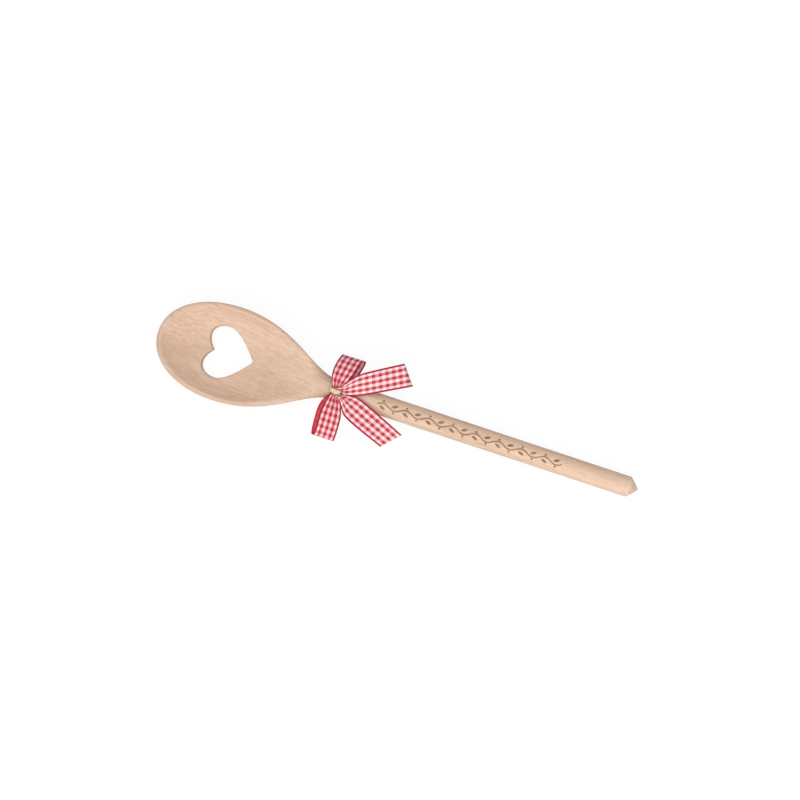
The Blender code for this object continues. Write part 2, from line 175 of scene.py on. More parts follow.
@contextmanager
def editing(piece: bpy.types.Object) -> Iterator[None]:
    """Hold a piece in edit mode for a block of operators, all of it selected at first.

    Args:
        piece: the piece.

    Yields:
        Nothing; edit mode ends with the block.
    """
    only(piece)
    bpy.ops.object.mode_set(mode="EDIT")
    bpy.ops.mesh.select_all(action="SELECT")
    yield
    bpy.ops.object.mode_set(mode="OBJECT")


def shaped_grid(
    name: str, columns: int, rows: int, place: Callable[[float, float], Vector]
) -> bpy.types.Object:
    """Add a grid and move each of its points.

    Args:
        name: the piece's name.
        columns: faces along the first share.
        rows: faces along the second share.
        place: gives a point's place from its two shares, each from 0 to 1.

    Returns:
        The new piece.
    """
    bpy.ops.object.select_all(action="DESELECT")
    bpy.ops.mesh.primitive_grid_add(x_subdivisions=columns, y_subdivisions=rows, size=1.0)
    piece = bpy.context.object
    piece.name = piece.data.name = name
    for vertex in piece.data.vertices:
        vertex.co = place(vertex.co.x + 0.5, vertex.co.y + 0.5)
    return piece


def close_up(piece: bpy.types.Object) -> None:
    """Merge the points of a rolled grid that lie on each other, fill what stays open and turn faces out.

    Args:
        piece: the rolled grid.
    """
    with editing(piece):
        bpy.ops.mesh.remove_doubles(threshold=MERGE_DISTANCE)
        bpy.ops.mesh.fill_holes(sides=0)
        bpy.ops.mesh.normals_make_consistent(inside=False)


def finish_with(piece: bpy.types.Object, kind: str, **settings: Any) -> None:
    """Add a modifier to a piece and apply it.

    Args:
        piece: the piece.
        kind: the modifier's type.
        settings: the modifier's own properties.
    """
    only(piece)
    modifier = piece.modifiers.new(kind.lower(), kind)
    for name, value in settings.items():
        setattr(modifier, name, value)
    bpy.ops.object.modifier_apply(modifier=modifier.name)


def mount(piece: bpy.types.Object, body: Body, slot: Slot) -> None:
    """Shade a finished piece smooth, and tie it to the body it moves with.

    Args:
        piece: the piece.
        body: the moving body that carries it.
        slot: the record's slot that its finish belongs to; not used.
    """
    only(piece)
    bpy.ops.object.shade_smooth()
    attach(piece, body.value)
    log.info("%s: %d faces, moves with %s", piece.name, len(piece.data.polygons), body.value)


def smooth_path(points: list[Vector], steps: int) -> list[Vector]:
    """Draw a curve through points.

    Args:
        points: what the curve passes through.
        steps: new points for each old one.

    Returns:
        A row of closer points.
    """
    tangents = []
    for i, point in enumerate(points):
        before, after = points[max(i - 1, 0)], points[min(i + 1, len(points) - 1)]
        tangents.append((after - before) / ((point - before).length + (after - point).length))
    path = []
    for i in range(len(points) - 1):
        start, end = points[i], points[i + 1]
        third = (end - start).length / 3
        handles = start + tangents[i] * third, end - tangents[i + 1] * third
        path += interpolate_bezier(start, *handles, end, steps + 1)[:-1]
    return path + [points[-1]]


def lengths(points: list[Vector]) -> list[float]:
    """Measure along a row of points.

    Args:
        points: the row.

    Returns:
        Distance of each point from the first, along the row.
    """
    reached = [0.0]
    for start, end in zip(points, points[1:]):
        reached.append(reached[-1] + (end - start).length)
    return reached


@dataclass(frozen=True)
class BurntVine:
    """Running vine burnt into the top of the handle.

    It has a wavy stem, a leaf in each hollow and a berry on each crest.
    """

    start: float = -0.014
    waves: int = 8
    wave_length: float = 0.0144
    wave_height: float = 0.0013
    stem_width: float = 0.0009
    leaf_length: float = 0.0044
    leaf_width: float = 0.0017
    leaf_turn: float = math.radians(24)
    leaf_drop: float = 0.0013
    berry_out: float = 0.0026
    berry_radius: float = 0.0007
    softness: float = 0.00022
    handle_radius: float = 0.0063
    axis_at_start: float = 0.00938
    axis_slope: float = -0.01958

    def mask(self, tree: bpy.types.NodeTree, place: bpy.types.NodeSocket) -> bpy.types.NodeSocket:
        """Draw the vine.

        Args:
            tree: the wood's node tree.
            place: object coordinates.

        Returns:
            1 where the wood is burnt and 0 where it is bare.
        """
        half_wave, half_vine = self.wave_length / 2, self.waves * self.wave_length / 2
        half_leaf, half_blade = self.leaf_length / 2, self.leaf_width / 2
        cosine, sine = math.cos(self.leaf_turn), math.sin(self.leaf_turn)
        made = dict(zip(("x", "y", "z"), add_node(tree, "SeparateXYZ", {0: place}).outputs))
        # The handle's skin is laid flat as along and across; stem, blade and berry are below 0 where burnt
        for name, operation, *inputs in (
            ("along", "SUBTRACT", "x", self.start),
            ("axis", "MULTIPLY_ADD", "along", self.axis_slope, self.axis_at_start),
            ("above", "SUBTRACT", "z", "axis"),
            ("turn", "ARCTAN2", "y", "above"),
            ("across", "MULTIPLY", "turn", self.handle_radius),
            ("halves", "DIVIDE", "along", half_wave),
            ("phase", "MULTIPLY", "halves", math.pi),
            ("wave", "SINE", "phase"),
            ("off_stem", "MULTIPLY_ADD", "wave", -self.wave_height, "across"),
            ("to_stem", "ABSOLUTE", "off_stem"),
            ("stem", "SUBTRACT", "to_stem", self.stem_width / 2),
            ("cell", "FLOOR", "halves"),
            ("odd", "FLOORED_MODULO", "cell", 2.0),
            ("way", "MULTIPLY_ADD", "odd", -2.0, 1.0),
            ("inside", "FRACT", "halves"),
            ("centred", "SUBTRACT", "inside", 0.5),
            ("from_crest", "MULTIPLY", "centred", half_wave),
            ("outwards", "MULTIPLY", "across", "way"),
            ("leaf_up", "ADD", "outwards", self.leaf_drop),
            ("leaf_back", "MULTIPLY", "leaf_up", -sine),
            ("on_rib", "MULTIPLY_ADD", "from_crest", cosine, "leaf_back"),
            ("leaf_out", "MULTIPLY", "leaf_up", cosine),
            ("off_rib", "MULTIPLY_ADD", "from_crest", sine, "leaf_out"),
            ("to_rib", "ABSOLUTE", "off_rib"),
            ("to_end", "DIVIDE", "on_rib", half_leaf),
            ("narrowing", "MULTIPLY", "to_end", "to_end"),
            ("outline", "MULTIPLY_ADD", "narrowing", half_blade, "to_rib"),
            ("blade", "SUBTRACT", "outline", half_blade),
            ("berry_up", "SUBTRACT", "outwards", self.berry_out),
            ("up_squared", "MULTIPLY", "berry_up", "berry_up"),
            ("both_squared", "MULTIPLY_ADD", "from_crest", "from_crest", "up_squared"),
            ("to_berry", "SQRT", "both_squared"),
            ("berry", "SUBTRACT", "to_berry", self.berry_radius),
            ("stem_or_blade", "MINIMUM", "stem", "blade"),
            ("nearest", "MINIMUM", "stem_or_blade", "berry"),
            ("off_middle", "SUBTRACT", "along", half_vine),
            ("to_middle", "ABSOLUTE", "off_middle"),
            ("within", "LESS_THAN", "to_middle", half_vine),
        ):
            sockets = {i: made.get(value, value) for i, value in enumerate(inputs)}
            made[name] = add_node(tree, "Math", sockets, operation=operation).outputs[0]
        burnt = add_node(
            tree,
            "MapRange",
            {"Value": made["nearest"], "From Min": self.softness, "From Max": -self.softness},
            interpolation_type="SMOOTHSTEP",
        ).outputs[0]
        return add_node(tree, "Math", {0: burnt, 1: made["within"]}, operation="MULTIPLY").outputs[0]


@dataclass(frozen=True)
class Beech:
    """Beech, steamed, turned and sanded but not varnished: pinkish tan, matt, with short dark ray flecks.

    Sizes are a length and a width. A range is the two values of noise between which a thing fades in.
    """

    pale: str = "#EFCFB5"
    warm: str = "#D3B19A"
    fleck: str = "#BB8B69"
    burn: str = "#8A5936"
    grain_turn: float = math.radians(-6)
    streak_size: tuple[float, float] = (0.032, 0.0013)
    band_size: tuple[float, float] = (0.110, 0.013)
    fleck_size: tuple[float, float] = (0.0042, 0.00055)
    band_share: float = 0.6
    painted_light_drift: float = 0.22
    tone_range: tuple[float, float] = (0.46, 1.14)
    fleck_range: tuple[float, float] = (0.60, 0.76)
    fleck_strength: float = 0.45
    hardness_range: tuple[float, float] = (0.3, 0.7)
    burn_strength: tuple[float, float] = (0.70, 1.0)
    burn_depth: float = 0.8
    roughness: tuple[float, float] = (0.52, 0.68)
    relief: float = 0.0001
    vine: BurntVine = field(default_factory=BurntVine)

    def material(self) -> bpy.types.Material:
        """Make the wood's material.

        Returns:
            The material, for a piece that lies along x.
        """
        material, tree, shader = new_material("beech, sanded")
        place = add_node(tree, "TexCoord", {}).outputs["Object"]

        # Long soft streaks along the grain give the wood its direction, and painted light and shade make it
        # darker at the bowl and paler towards the handle's end
        grain = [
            add_node(
                tree,
                "Mapping",
                {"Vector": place, "Rotation": (0, 0, self.grain_turn), "Scale": (length, width, width)},
                vector_type="TEXTURE",
            ).outputs[0]
            for length, width in (self.streak_size, self.band_size, self.fleck_size)
        ]
        streaks = add_node(
            tree, "TexNoise", {"Vector": grain[0], "Scale": 1.0, "Detail": 5.0, "Roughness": 0.62}
        ).outputs[0]
        bands = add_node(
            tree, "TexNoise", {"Vector": grain[1], "Scale": 1.0, "Detail": 2.0, "Roughness": 0.5}
        ).outputs[0]
        both = add_node(
            tree, "Math", {0: bands, 1: self.band_share, 2: streaks}, operation="MULTIPLY_ADD"
        ).outputs[0]
        along = add_node(tree, "SeparateXYZ", {0: place}).outputs[0]
        grain_and_painted_light = add_node(
            tree, "Math", {0: along, 1: -self.painted_light_drift / SPOON_LENGTH, 2: both}, operation="MULTIPLY_ADD"
        ).outputs[0]
        tone = add_node(
            tree,
            "MapRange",
            {"Value": grain_and_painted_light, "From Min": self.tone_range[0], "From Max": self.tone_range[1]},
            interpolation_type="SMOOTHSTEP",
        ).outputs[0]
        wood = add_node(
            tree, "Mix", {0: tone, 6: linear(self.pale), 7: linear(self.warm)}, data_type="RGBA"
        ).outputs[2]

        # Short dark dashes are the rays cut across, the mark by which beech is known
        flecks = add_node(tree, "TexNoise", {"Vector": grain[2], "Scale": 1.0, "Detail": 1.0}).outputs[0]
        low, high = self.fleck_range
        fleck_share = add_node(
            tree,
            "MapRange",
            {"Value": flecks, "From Min": low, "From Max": high, "To Max": self.fleck_strength},
        ).outputs[0]
        flecked = add_node(
            tree, "Mix", {0: fleck_share, 6: wood, 7: linear(self.fleck)}, data_type="RGBA"
        ).outputs[2]

        # The burnt line is brown and uneven; it and the polish left by sanding both follow the streaks
        soft, hard = self.hardness_range
        uneven, rough = (
            add_node(
                tree,
                "MapRange",
                {"Value": streaks, "From Min": soft, "From Max": hard, "To Min": least, "To Max": most},
            ).outputs[0]
            for least, most in (self.burn_strength, self.roughness)
        )
        mask = self.vine.mask(tree, place)
        burnt = add_node(tree, "Math", {0: mask, 1: uneven}, operation="MULTIPLY").outputs[0]
        colour = add_node(
            tree, "Mix", {0: burnt, 6: flecked, 7: linear(self.burn)}, data_type="RGBA"
        ).outputs[2]
        height = add_node(
            tree, "Math", {0: burnt, 1: -self.burn_depth, 2: flecks}, operation="MULTIPLY_ADD"
        ).outputs[0]
        bump = add_node(tree, "Bump", {"Height": height, "Strength": 0.25, "Distance": self.relief})
        tree.links.new(colour, shader.inputs["Base Color"])
        tree.links.new(rough, shader.inputs["Roughness"])
        tree.links.new(bump.outputs[0], shader.inputs["Normal"])
        shader.inputs["Specular IOR Level"].default_value = 0.3
        return material


@dataclass(frozen=True)
class Gingham:
    """Woven check ribbon, cotton and polyester.

    It is white, pink under a red stripe that runs across, rose under one that runs along, and deep red
    under both.
    """

    name: str
    white: str
    pink: str
    rose: str
    red: str
    selvedge: str
    width: float = RIBBON_WIDTH
    check_across: float = 0.00325
    check_along: float = 0.00413
    stripe_edge: tuple[float, float] = (0.28, 0.22)
    selvedge_width: float = 0.0010
    selvedge_blur: float = 0.00008
    thread: float = 0.0004
    thread_shades: tuple[float, float] = (0.93, 1.04)
    relief: float = 0.00006

    def material(self) -> bpy.types.Material:
        """Make the ribbon's material.

        Returns:
            The material, for a UV map in metres: across from the middle, and along.
        """
        material, tree, shader = new_material(self.name)
        flat = add_node(tree, "UVMap", {}, uv_map="flat").outputs[0]
        split = add_node(tree, "SeparateXYZ", {0: flat})

        # A stripe is half a check wide; the middle one is centred and the outer two end inside the selvedges
        shares = []
        for output, check in zip(split.outputs, (self.check_across, self.check_along)):
            count = add_node(tree, "Math", {0: output, 1: check}, operation="DIVIDE").outputs[0]
            off = add_node(tree, "Math", {0: count, 1: 0.5}, operation="PINGPONG").outputs[0]
            stripe = add_node(
                tree,
                "MapRange",
                {"Value": off, "From Min": self.stripe_edge[0], "From Max": self.stripe_edge[1]},
                interpolation_type="SMOOTHSTEP",
            ).outputs[0]
            shares.append(stripe)
        between, under = (
            add_node(
                tree, "Mix", {0: shares[0], 6: linear(bare), 7: linear(striped)}, data_type="RGBA"
            ).outputs[2]
            for bare, striped in ((self.white, self.rose), (self.pink, self.red))
        )
        checks = add_node(tree, "Mix", {0: shares[1], 6: between, 7: under}, data_type="RGBA").outputs[2]
        from_middle = add_node(tree, "Math", {0: split.outputs[0]}, operation="ABSOLUTE").outputs[0]
        edge, blur = self.width / 2 - self.selvedge_width, self.selvedge_blur
        at_edge = add_node(
            tree, "MapRange", {"Value": from_middle, "From Min": edge - blur, "From Max": edge + blur}
        ).outputs[0]
        edged = add_node(
            tree, "Mix", {0: at_edge, 6: checks, 7: linear(self.selvedge)}, data_type="RGBA"
        ).outputs[2]

        # Plain weave: threads go over and under by turns. Real threads are half as wide as these
        weave_space = add_node(
            tree, "Mapping", {"Vector": flat, "Scale": (math.pi / self.thread, math.pi / self.thread, 1.0)}
        )
        weave_split = add_node(tree, "SeparateXYZ", {0: weave_space.outputs[0]})
        first = add_node(tree, "Math", {0: weave_split.outputs[0]}, operation="SINE").outputs[0]
        second = add_node(tree, "Math", {0: weave_split.outputs[1]}, operation="SINE").outputs[0]
        weave = add_node(tree, "Math", {0: first, 1: second}, operation="MULTIPLY").outputs[0]
        dark, light = self.thread_shades
        shade = add_node(
            tree,
            "MapRange",
            {"Value": weave, "From Min": -1.0, "From Max": 1.0, "To Min": dark, "To Max": light},
        ).outputs[0]
        shaded = add_node(tree, "VectorMath", {0: edged, 1: shade}, operation="MULTIPLY").outputs[0]
        bump = add_node(tree, "Bump", {"Height": weave, "Strength": 0.35, "Distance": self.relief})
        tree.links.new(shaded, shader.inputs["Base Color"])
        tree.links.new(bump.outputs[0], shader.inputs["Normal"])
        shader.inputs["Roughness"].default_value = 0.8
        shader.inputs["Specular IOR Level"].default_value = 0.25
        shader.inputs["Sheen Weight"].default_value = 0.15
        return material


# The cloth is thin: over the white table one layer looks pale. The other copies are the same cloth with light
# and
# shade painted in: painted shade makes two layers deeper, painted light through red threads makes the inside
# of the lower loop redder still, and painted light makes the inside of the upper loop, which faces the light,
# palest
SINGLE_GINGHAM = Gingham(
    "gingham ribbon, one layer", "#FFECE8", "#FFB6B7", "#E6868F", "#BE344A", "#B42844"
)
SHADED_DOUBLED_GINGHAM = Gingham(
    "gingham ribbon, two layers, painted shade", "#FFDCDA", "#F4969C", "#DE707B", "#B6263F", "#A6203C"
)
LIT_RED_INSIDE_GINGHAM = Gingham(
    "gingham ribbon, inside a loop, painted light through", "#EC6A6C", "#E8555C", "#E8555C", "#E2404A", "#CE2A3A"
)
LIT_GINGHAM = Gingham(
    "gingham ribbon, lit through", "#FFE6E4", "#FFC0C2", "#F0969E", "#DC4C5E", "#B0203C"
)


@dataclass(frozen=True)
class GiltWire:
    """Thin gilt craft wire: pale gold, drawn smooth, with small dents from being twisted by hand."""

    gold: str = "#D9CAAA"
    tarnish: str = "#B8A682"
    dent: float = 0.0012
    tarnish_range: tuple[float, float] = (0.4, 0.7)
    relief: float = 0.0002

    def material(self) -> bpy.types.Material:
        """Make the wire's material.

        Returns:
            The material.
        """
        material, tree, shader = new_material("gilt wire, drawn")
        place = add_node(tree, "TexCoord", {}).outputs["Object"]

        # Handling leaves dull patches, so the gold isn't one even tone
        dents = add_node(
            tree, "TexNoise", {"Vector": place, "Scale": 1 / self.dent, "Detail": 2.0}
        ).outputs[0]
        bright, dull = self.tarnish_range
        share = add_node(
            tree, "MapRange", {"Value": dents, "From Min": bright, "From Max": dull}
        ).outputs[0]
        colour = add_node(
            tree, "Mix", {0: share, 6: linear(self.gold), 7: linear(self.tarnish)}, data_type="RGBA"
        ).outputs[2]
        bump = add_node(tree, "Bump", {"Height": dents, "Strength": 0.15, "Distance": self.relief})
        tree.links.new(colour, shader.inputs["Base Color"])
        tree.links.new(bump.outputs[0], shader.inputs["Normal"])
        shader.inputs["Metallic"].default_value = 1.0
        shader.inputs["Roughness"].default_value = 0.32
        return material


@dataclass
class Spoon:
    """Bowl, neck and round handle, carved and turned from one board.

    A field that ends in "at" is a distance from the tip. The heart's cut reaches from one height to another.
    """

    bowl_width: float = 0.0576
    widest_at: float = 0.043
    tip_roundness: float = 2.1
    shoulder_pull: float = 0.034
    neck_pull: float = 0.014
    neck_at: float = 0.108
    neck_radius: float = 0.0064
    end_radius: float = 0.0062
    point_length: float = 0.0060
    point_bluntness: float = 0.93
    neck_height: float = 0.0099
    end_height: float = 0.00625
    rim_height: float = 0.0166
    keel_at: float = 0.040
    keel_end_at: float = 0.064
    back_roundness: float = 2.2
    back_flat: float = 0.0010
    bowl_rounds_by: float = 0.35
    rim_edge: float = 0.0016
    rim_width: float = 0.0027
    neck_rim_width: float = 0.0038
    hollow_depth: float = 0.0095
    hollow_deepest_at: float = 0.050
    hollow_end_at: float = 0.1005
    hollow_end_round: float = 0.016
    hollow_steepness: float = 3.2
    hollow_overhang: float = 1.08
    hollow_fades_from: float = 0.052
    hollow_fade: float = 0.78
    heart_notch_at: float = 0.0334
    heart_length: float = 0.0245
    heart_half_width: float = 0.01585
    heart_widest: float = 0.0053
    lobe_pull: tuple[float, float] = (-0.0086, 0.0085)
    lobe_fullness: float = 0.0091
    side_fullness: float = 0.0053
    point_pull: tuple[float, float] = (-0.0063, 0.0085)
    heart_points: int = 33
    heart_cut: tuple[float, float] = (-0.0099, 0.0297)
    skin_faces: tuple[int, int] = (300, 120)
    hollow_faces: tuple[int, int] = (160, 48)
    voxel: float = 0.00052
    sanding: int = 2
    sanding_strength: float = 0.5

    @property
    def point_at(self) -> float:
        """Distance from the tip at which the handle's cone starts."""
        return SPOON_LENGTH - self.point_length

    def handle_radius(self, from_tip: float) -> float:
        """Radius of the handle, which tapers a little and ends in a cone.

        Args:
            from_tip: distance from the tip.

        Returns:
            The radius there.
        """
        if from_tip > self.point_at:
            to_end = max(SPOON_LENGTH - from_tip, 0.0) / self.point_length
            return self.end_radius * to_end**self.point_bluntness
        share = (from_tip - self.neck_at) / (self.point_at - self.neck_at)
        return mix(self.neck_radius, self.end_radius, max(share, 0.0))

    def axis_height(self, from_tip: float) -> float:
        """Height of the handle's axis, which falls towards the end and is level under the bowl."""
        slope = (self.end_height - self.neck_height) / (self.point_at - self.neck_at)
        return self.neck_height + slope * max(from_tip - self.neck_at, 0.0)

    def half_width(self, from_tip: float) -> float:
        """Half the spoon's width, seen from above.

        Args:
            from_tip: distance from the tip.

        Returns:
            Half the width there. From the widest place to the neck it follows a curve with two handles.
        """
        if from_tip <= self.widest_at:
            return self.bowl_width / 2 * power_curve(from_tip / self.widest_at, self.tip_roundness)
        if from_tip >= self.neck_at:
            return self.handle_radius(from_tip)
        handles = self.widest_at + self.shoulder_pull, self.neck_at - self.neck_pull
        low, high = 0.0, 1.0
        for _ in range(HALVINGS):
            share = (low + high) / 2
            back = 1 - share
            reached = back**3 * self.widest_at + share**3 * self.neck_at
            reached += 3 * back * share * (back * handles[0] + share * handles[1])
            low, high = (share, high) if reached < from_tip else (low, share)
        return mix(self.bowl_width / 2, self.neck_radius, smooth(share))

    def back_height(self, from_tip: float) -> float:
        """Height of the back's lowest line before it is sanded flat.

        Args:
            from_tip: distance from the tip.

        Returns:
            The height there, below 0 where the flat will be.
        """
        if from_tip <= self.keel_at:
            top = self.rim_height - self.rim_edge
            return top - (top + self.back_flat) * power_curve(from_tip / self.keel_at, self.back_roundness)
        rise = smooth((from_tip - self.keel_end_at) / (self.neck_at - self.keel_end_at))
        return mix(-self.back_flat, self.axis_height(from_tip) - self.handle_radius(from_tip), rise)

    def top_height(self, from_tip: float, y: float) -> float:
        """Height of the bowl before it is hollowed: flat, with its outer edge rounded over.

        Args:
            from_tip: distance from the tip.
            y: distance to the side.

        Returns:
            The height there.
        """
        inside = self.half_width(from_tip) - abs(y)
        if from_tip < self.widest_at:
            power, reach = self.tip_roundness, self.bowl_width / 2
            back, out = 1 - from_tip / self.widest_at, abs(y) / reach
            steepness = math.hypot(back ** (power - 1) / self.widest_at, out ** (power - 1) / reach) * power
            inside = (1 - back**power - out**power) / steepness
        to_flat = min(max(self.rim_edge - inside, 0.0), self.rim_edge)
        return self.rim_height - self.rim_edge + math.sqrt(self.rim_edge**2 - to_flat**2)

    def surface(self, from_tip: float, turn: float) -> Vector:
        """A point of the blank's skin.

        Args:
            from_tip: distance from the tip.
            turn: angle round the section, from +y over the top.

        Returns:
            The point, before the back is cut flat.
        """
        half, radius = self.half_width(from_tip), self.handle_radius(from_tip)
        swell = (half - radius) / (self.bowl_width / 2 - self.neck_radius)
        bowl = smooth(swell / self.bowl_rounds_by) if from_tip > self.widest_at else 1.0
        axis = self.axis_height(from_tip)
        middle = mix(axis, self.rim_height - self.rim_edge, bowl)
        depth = middle - self.back_height(from_tip)
        under = 2.0 / mix(2.0, self.back_roundness, bowl)
        across, up = math.cos(turn), math.sin(turn)
        if up >= 0:
            y = half * across
            return placed(from_tip, y, mix(axis + radius * up, self.top_height(from_tip, y), bowl))
        return placed(from_tip, half * signed_power(across, under), middle + depth * signed_power(up, under))

    def skin(self, along: float, around: float) -> Vector:
        """A point of the blank's skin, on rows that crowd together towards the tip.

        Args:
            along: share of the rows.
            around: share of a turn.

        Returns:
            The point.
        """
        crowded = self.widest_at / SPOON_LENGTH
        if along < crowded:
            along = crowded * (1 - math.cos(math.pi / 2 * along / crowded))
        return self.surface(SPOON_LENGTH * along, 2 * math.pi * around)

    def blank(self) -> bpy.types.Object:
        """Bowl, neck and handle with the back cut flat, before anything is cut out.

        Returns:
            The blank.
        """
        piece = shaped_grid("beech_spoon", *self.skin_faces, self.skin)
        close_up(piece)
        with editing(piece):
            bpy.ops.mesh.bisect(
                plane_co=(0, 0, 0),
                plane_no=(0, 0, 1),
                use_fill=True,
                clear_inner=True,
                threshold=BISECT_DISTANCE,
            )
        return piece

    def hollow_half_width(self, from_tip: float) -> float:
        """Half the width of the hollow at the rim.

        Args:
            from_tip: distance from the tip.

        Returns:
            Half the width there.
        """
        if from_tip <= self.widest_at:
            inwards = (from_tip - self.rim_width) / (self.widest_at - self.rim_width)
            return (self.bowl_width / 2 - self.rim_width) * power_curve(inwards, self.tip_roundness)
        along = (from_tip - self.widest_at) / (self.hollow_end_at - self.widest_at)
        to_end = max(from_tip - (self.hollow_end_at - self.hollow_end_round), 0.0) / self.hollow_end_round
        inside_rim = self.half_width(from_tip) - mix(self.rim_width, self.neck_rim_width, smooth(along))
        return inside_rim * math.sqrt(max(1.0 - to_end**2, 0.0))

    def dish(self, around: float, inwards: float) -> Vector:
        """A point of the hollow.

        Args:
            around: share of the way round the rim, from the tip.
            inwards: share of the way from above the rim to the deepest point.

        Returns:
            The point.
        """
        share = self.hollow_overhang * (1 - inwards)
        turn = 2 * math.pi * around
        from_tip = mix(self.rim_width, self.hollow_end_at, 0.5 * (1 - math.cos(turn)))
        half = math.copysign(self.hollow_half_width(from_tip), math.sin(turn))
        x = mix(self.hollow_deepest_at, from_tip, share)
        fading = smooth((x - self.hollow_fades_from) / (self.hollow_end_at - self.hollow_fades_from))
        depth = self.hollow_depth * (1 - self.hollow_fade * fading)
        return placed(x, half * share, self.rim_height - depth * (1 - share**self.hollow_steepness))

    def hollow(self) -> bpy.types.Object:
        """Model the dish that is carved out of the bowl.

        Returns:
            What is carved out, as a solid.
        """
        piece = shaped_grid("hollow", *self.hollow_faces, self.dish)
        close_up(piece)
        return piece

    def heart(self) -> bpy.types.Object:
        """Model the heart that is sawn through the bowl's floor.

        Returns:
            What is sawn out, as a solid.
        """
        notch = Vector((self.heart_notch_at, 0.0))
        point = Vector((self.heart_notch_at + self.heart_length, 0.0))
        side = Vector((self.heart_notch_at + self.heart_widest, self.heart_half_width))
        lobe_end, flank_start = Vector((self.lobe_fullness, 0.0)), Vector((self.side_fullness, 0.0))
        lobe_handles = notch + Vector(self.lobe_pull), side - lobe_end
        flank_handles = side + flank_start, point + Vector(self.point_pull)
        upper = interpolate_bezier(notch, *lobe_handles, side, self.heart_points)
        upper += interpolate_bezier(side, *flank_handles, point, self.heart_points)[1:]
        outline = upper + [Vector((p.x, -p.y)) for p in upper[-2:0:-1]]
        bottom, top = self.heart_cut
        bpy.ops.object.select_all(action="DESELECT")
        bpy.ops.mesh.primitive_circle_add(
            vertices=len(outline), radius=self.heart_half_width, fill_type="NGON"
        )
        piece = bpy.context.object
        for vertex, at in zip(piece.data.vertices, outline):
            vertex.co = placed(at.x, at.y, bottom)
        with editing(piece):
            bpy.ops.mesh.extrude_region_move(TRANSFORM_OT_translate={"value": (0, 0, top - bottom)})
            bpy.ops.mesh.select_all(action="SELECT")
            bpy.ops.mesh.normals_make_consistent(inside=False)
        return piece

    def build(self) -> bpy.types.Object:
        """Carve the spoon and sand its edges round.

        Returns:
            The spoon.
        """
        piece = self.blank()
        for cutter in (self.hollow(), self.heart()):
            finish_with(piece, "BOOLEAN", operation="DIFFERENCE", solver="EXACT", object=cutter)
            bpy.data.objects.remove(cutter)
        finish_with(piece, "REMESH", mode="VOXEL", voxel_size=self.voxel)
        finish_with(piece, "SMOOTH", factor=self.sanding_strength, iterations=self.sanding)
        return piece

    def dress(self, piece: bpy.types.Object) -> None:
        """Give the spoon its wood.

        Args:
            piece: the carved spoon.
        """
        piece.data.materials.clear()
        piece.data.materials.append(Beech().material())
        mount(piece, Body.SPOON, Slot.BEECH)
        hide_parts("spoon")


@dataclass
class Ribbon:
    """What both strips of the bow share: their width, and how they are gathered at the waist."""

    width: float = RIBBON_WIDTH
    thickness: float = 0.00022
    gathered_width: float = 0.0040
    pleats: int = 3
    waist_pleat: float = 0.00035
    pleat_share: float = 0.75
    tie_half_width: float = 0.0014
    columns: int = 36

    def pleat(self, width: float, from_tie: float) -> float:
        """Height of the pleats.

        Args:
            width: width that the ribbon is gathered to.
            from_tie: distance beyond the tie.

        Returns:
            Height of a pleat above the ribbon's middle.
        """
        spare = math.sqrt(max((self.width / width) ** 2 - 1, 0.0))
        free = self.pleat_share * width / (4 * self.pleats) * spare
        return mix(self.waist_pleat, free, smooth(from_tie / (2 * self.tie_half_width)))

    def strip(
        self,
        name: str,
        edges: list[tuple[Vector, Vector]],
        cloth: list[tuple[float, float]],
        finishes: list[bpy.types.Material],
    ) -> bpy.types.Object:
        """Make a ribbon between its two edges.

        Args:
            name: the piece's name.
            edges: both edges of each station, from end to end.
            cloth: how far along the woven checks each station is, at both edges.
            finishes: what the outer side wears, then the inner side if it wears something else.

        Returns:
            The ribbon, with a UV map in metres of flat cloth.
        """
        count = len(edges) - 1
        tie = placed(*WAIST, 0.0)
        centres = [(left + right) / 2 for left, right in edges]

        def place(share_along: float, share_across: float) -> Vector:
            """A point of the cloth's middle layer.

            Args:
                share_along: share of the stations.
                share_across: share of the width.

            Returns:
                The point.
            """
            i = round(share_along * count)
            left, right = edges[i]
            across = right - left
            ahead = centres[min(i + 1, count)] - centres[max(i - 1, 0)]
            up = ahead.cross(across).normalized()
            from_tie = (centres[i] - tie).xy.length - self.tie_half_width
            # Round crests with a sharp crease between them, as in cloth that a tie has gathered
            wave = 2 * abs(math.cos(self.pleats * math.pi * (share_across - 0.5))) - 1
            return left + across * share_across + up * self.pleat(across.length, from_tie) * wave

        piece = shaped_grid(name, count, self.columns, place)
        layer = piece.data.uv_layers[0]
        layer.name = "flat"
        for loop in layer.data:
            i = round(loop.uv.x * count)
            loop.uv = ((loop.uv.y - 0.5) * self.width, mix(*cloth[i], loop.uv.y))
        for finish in finishes:
            piece.data.materials.append(finish)
        inner = min(len(finishes) - 1, 1)
        finish_with(piece, "SOLIDIFY", thickness=self.thickness, offset=0.0, material_offset=inner)
        piece["flat_length"] = lengths(centres)[-1]
        return piece

    def finish(self, piece: bpy.types.Object, node: str) -> None:
        """Args:
            piece: the strip.
            node: the solid that it stands for.
        """
        mount(piece, Body.BOW, Slot.RIBBON)
        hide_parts(node)


@dataclass
class Loop:
    """One loop of the bow.

    Its lean powers say how late its front and its back start to lean over, and its spreads how far from
    the tie each of the two reaches its full width.
    """

    side: Side
    reach: float
    lean: float
    lean_powers: tuple[float, float]
    roll: float
    opening: float
    droop: float
    swell: float
    spreads: tuple[float, float]


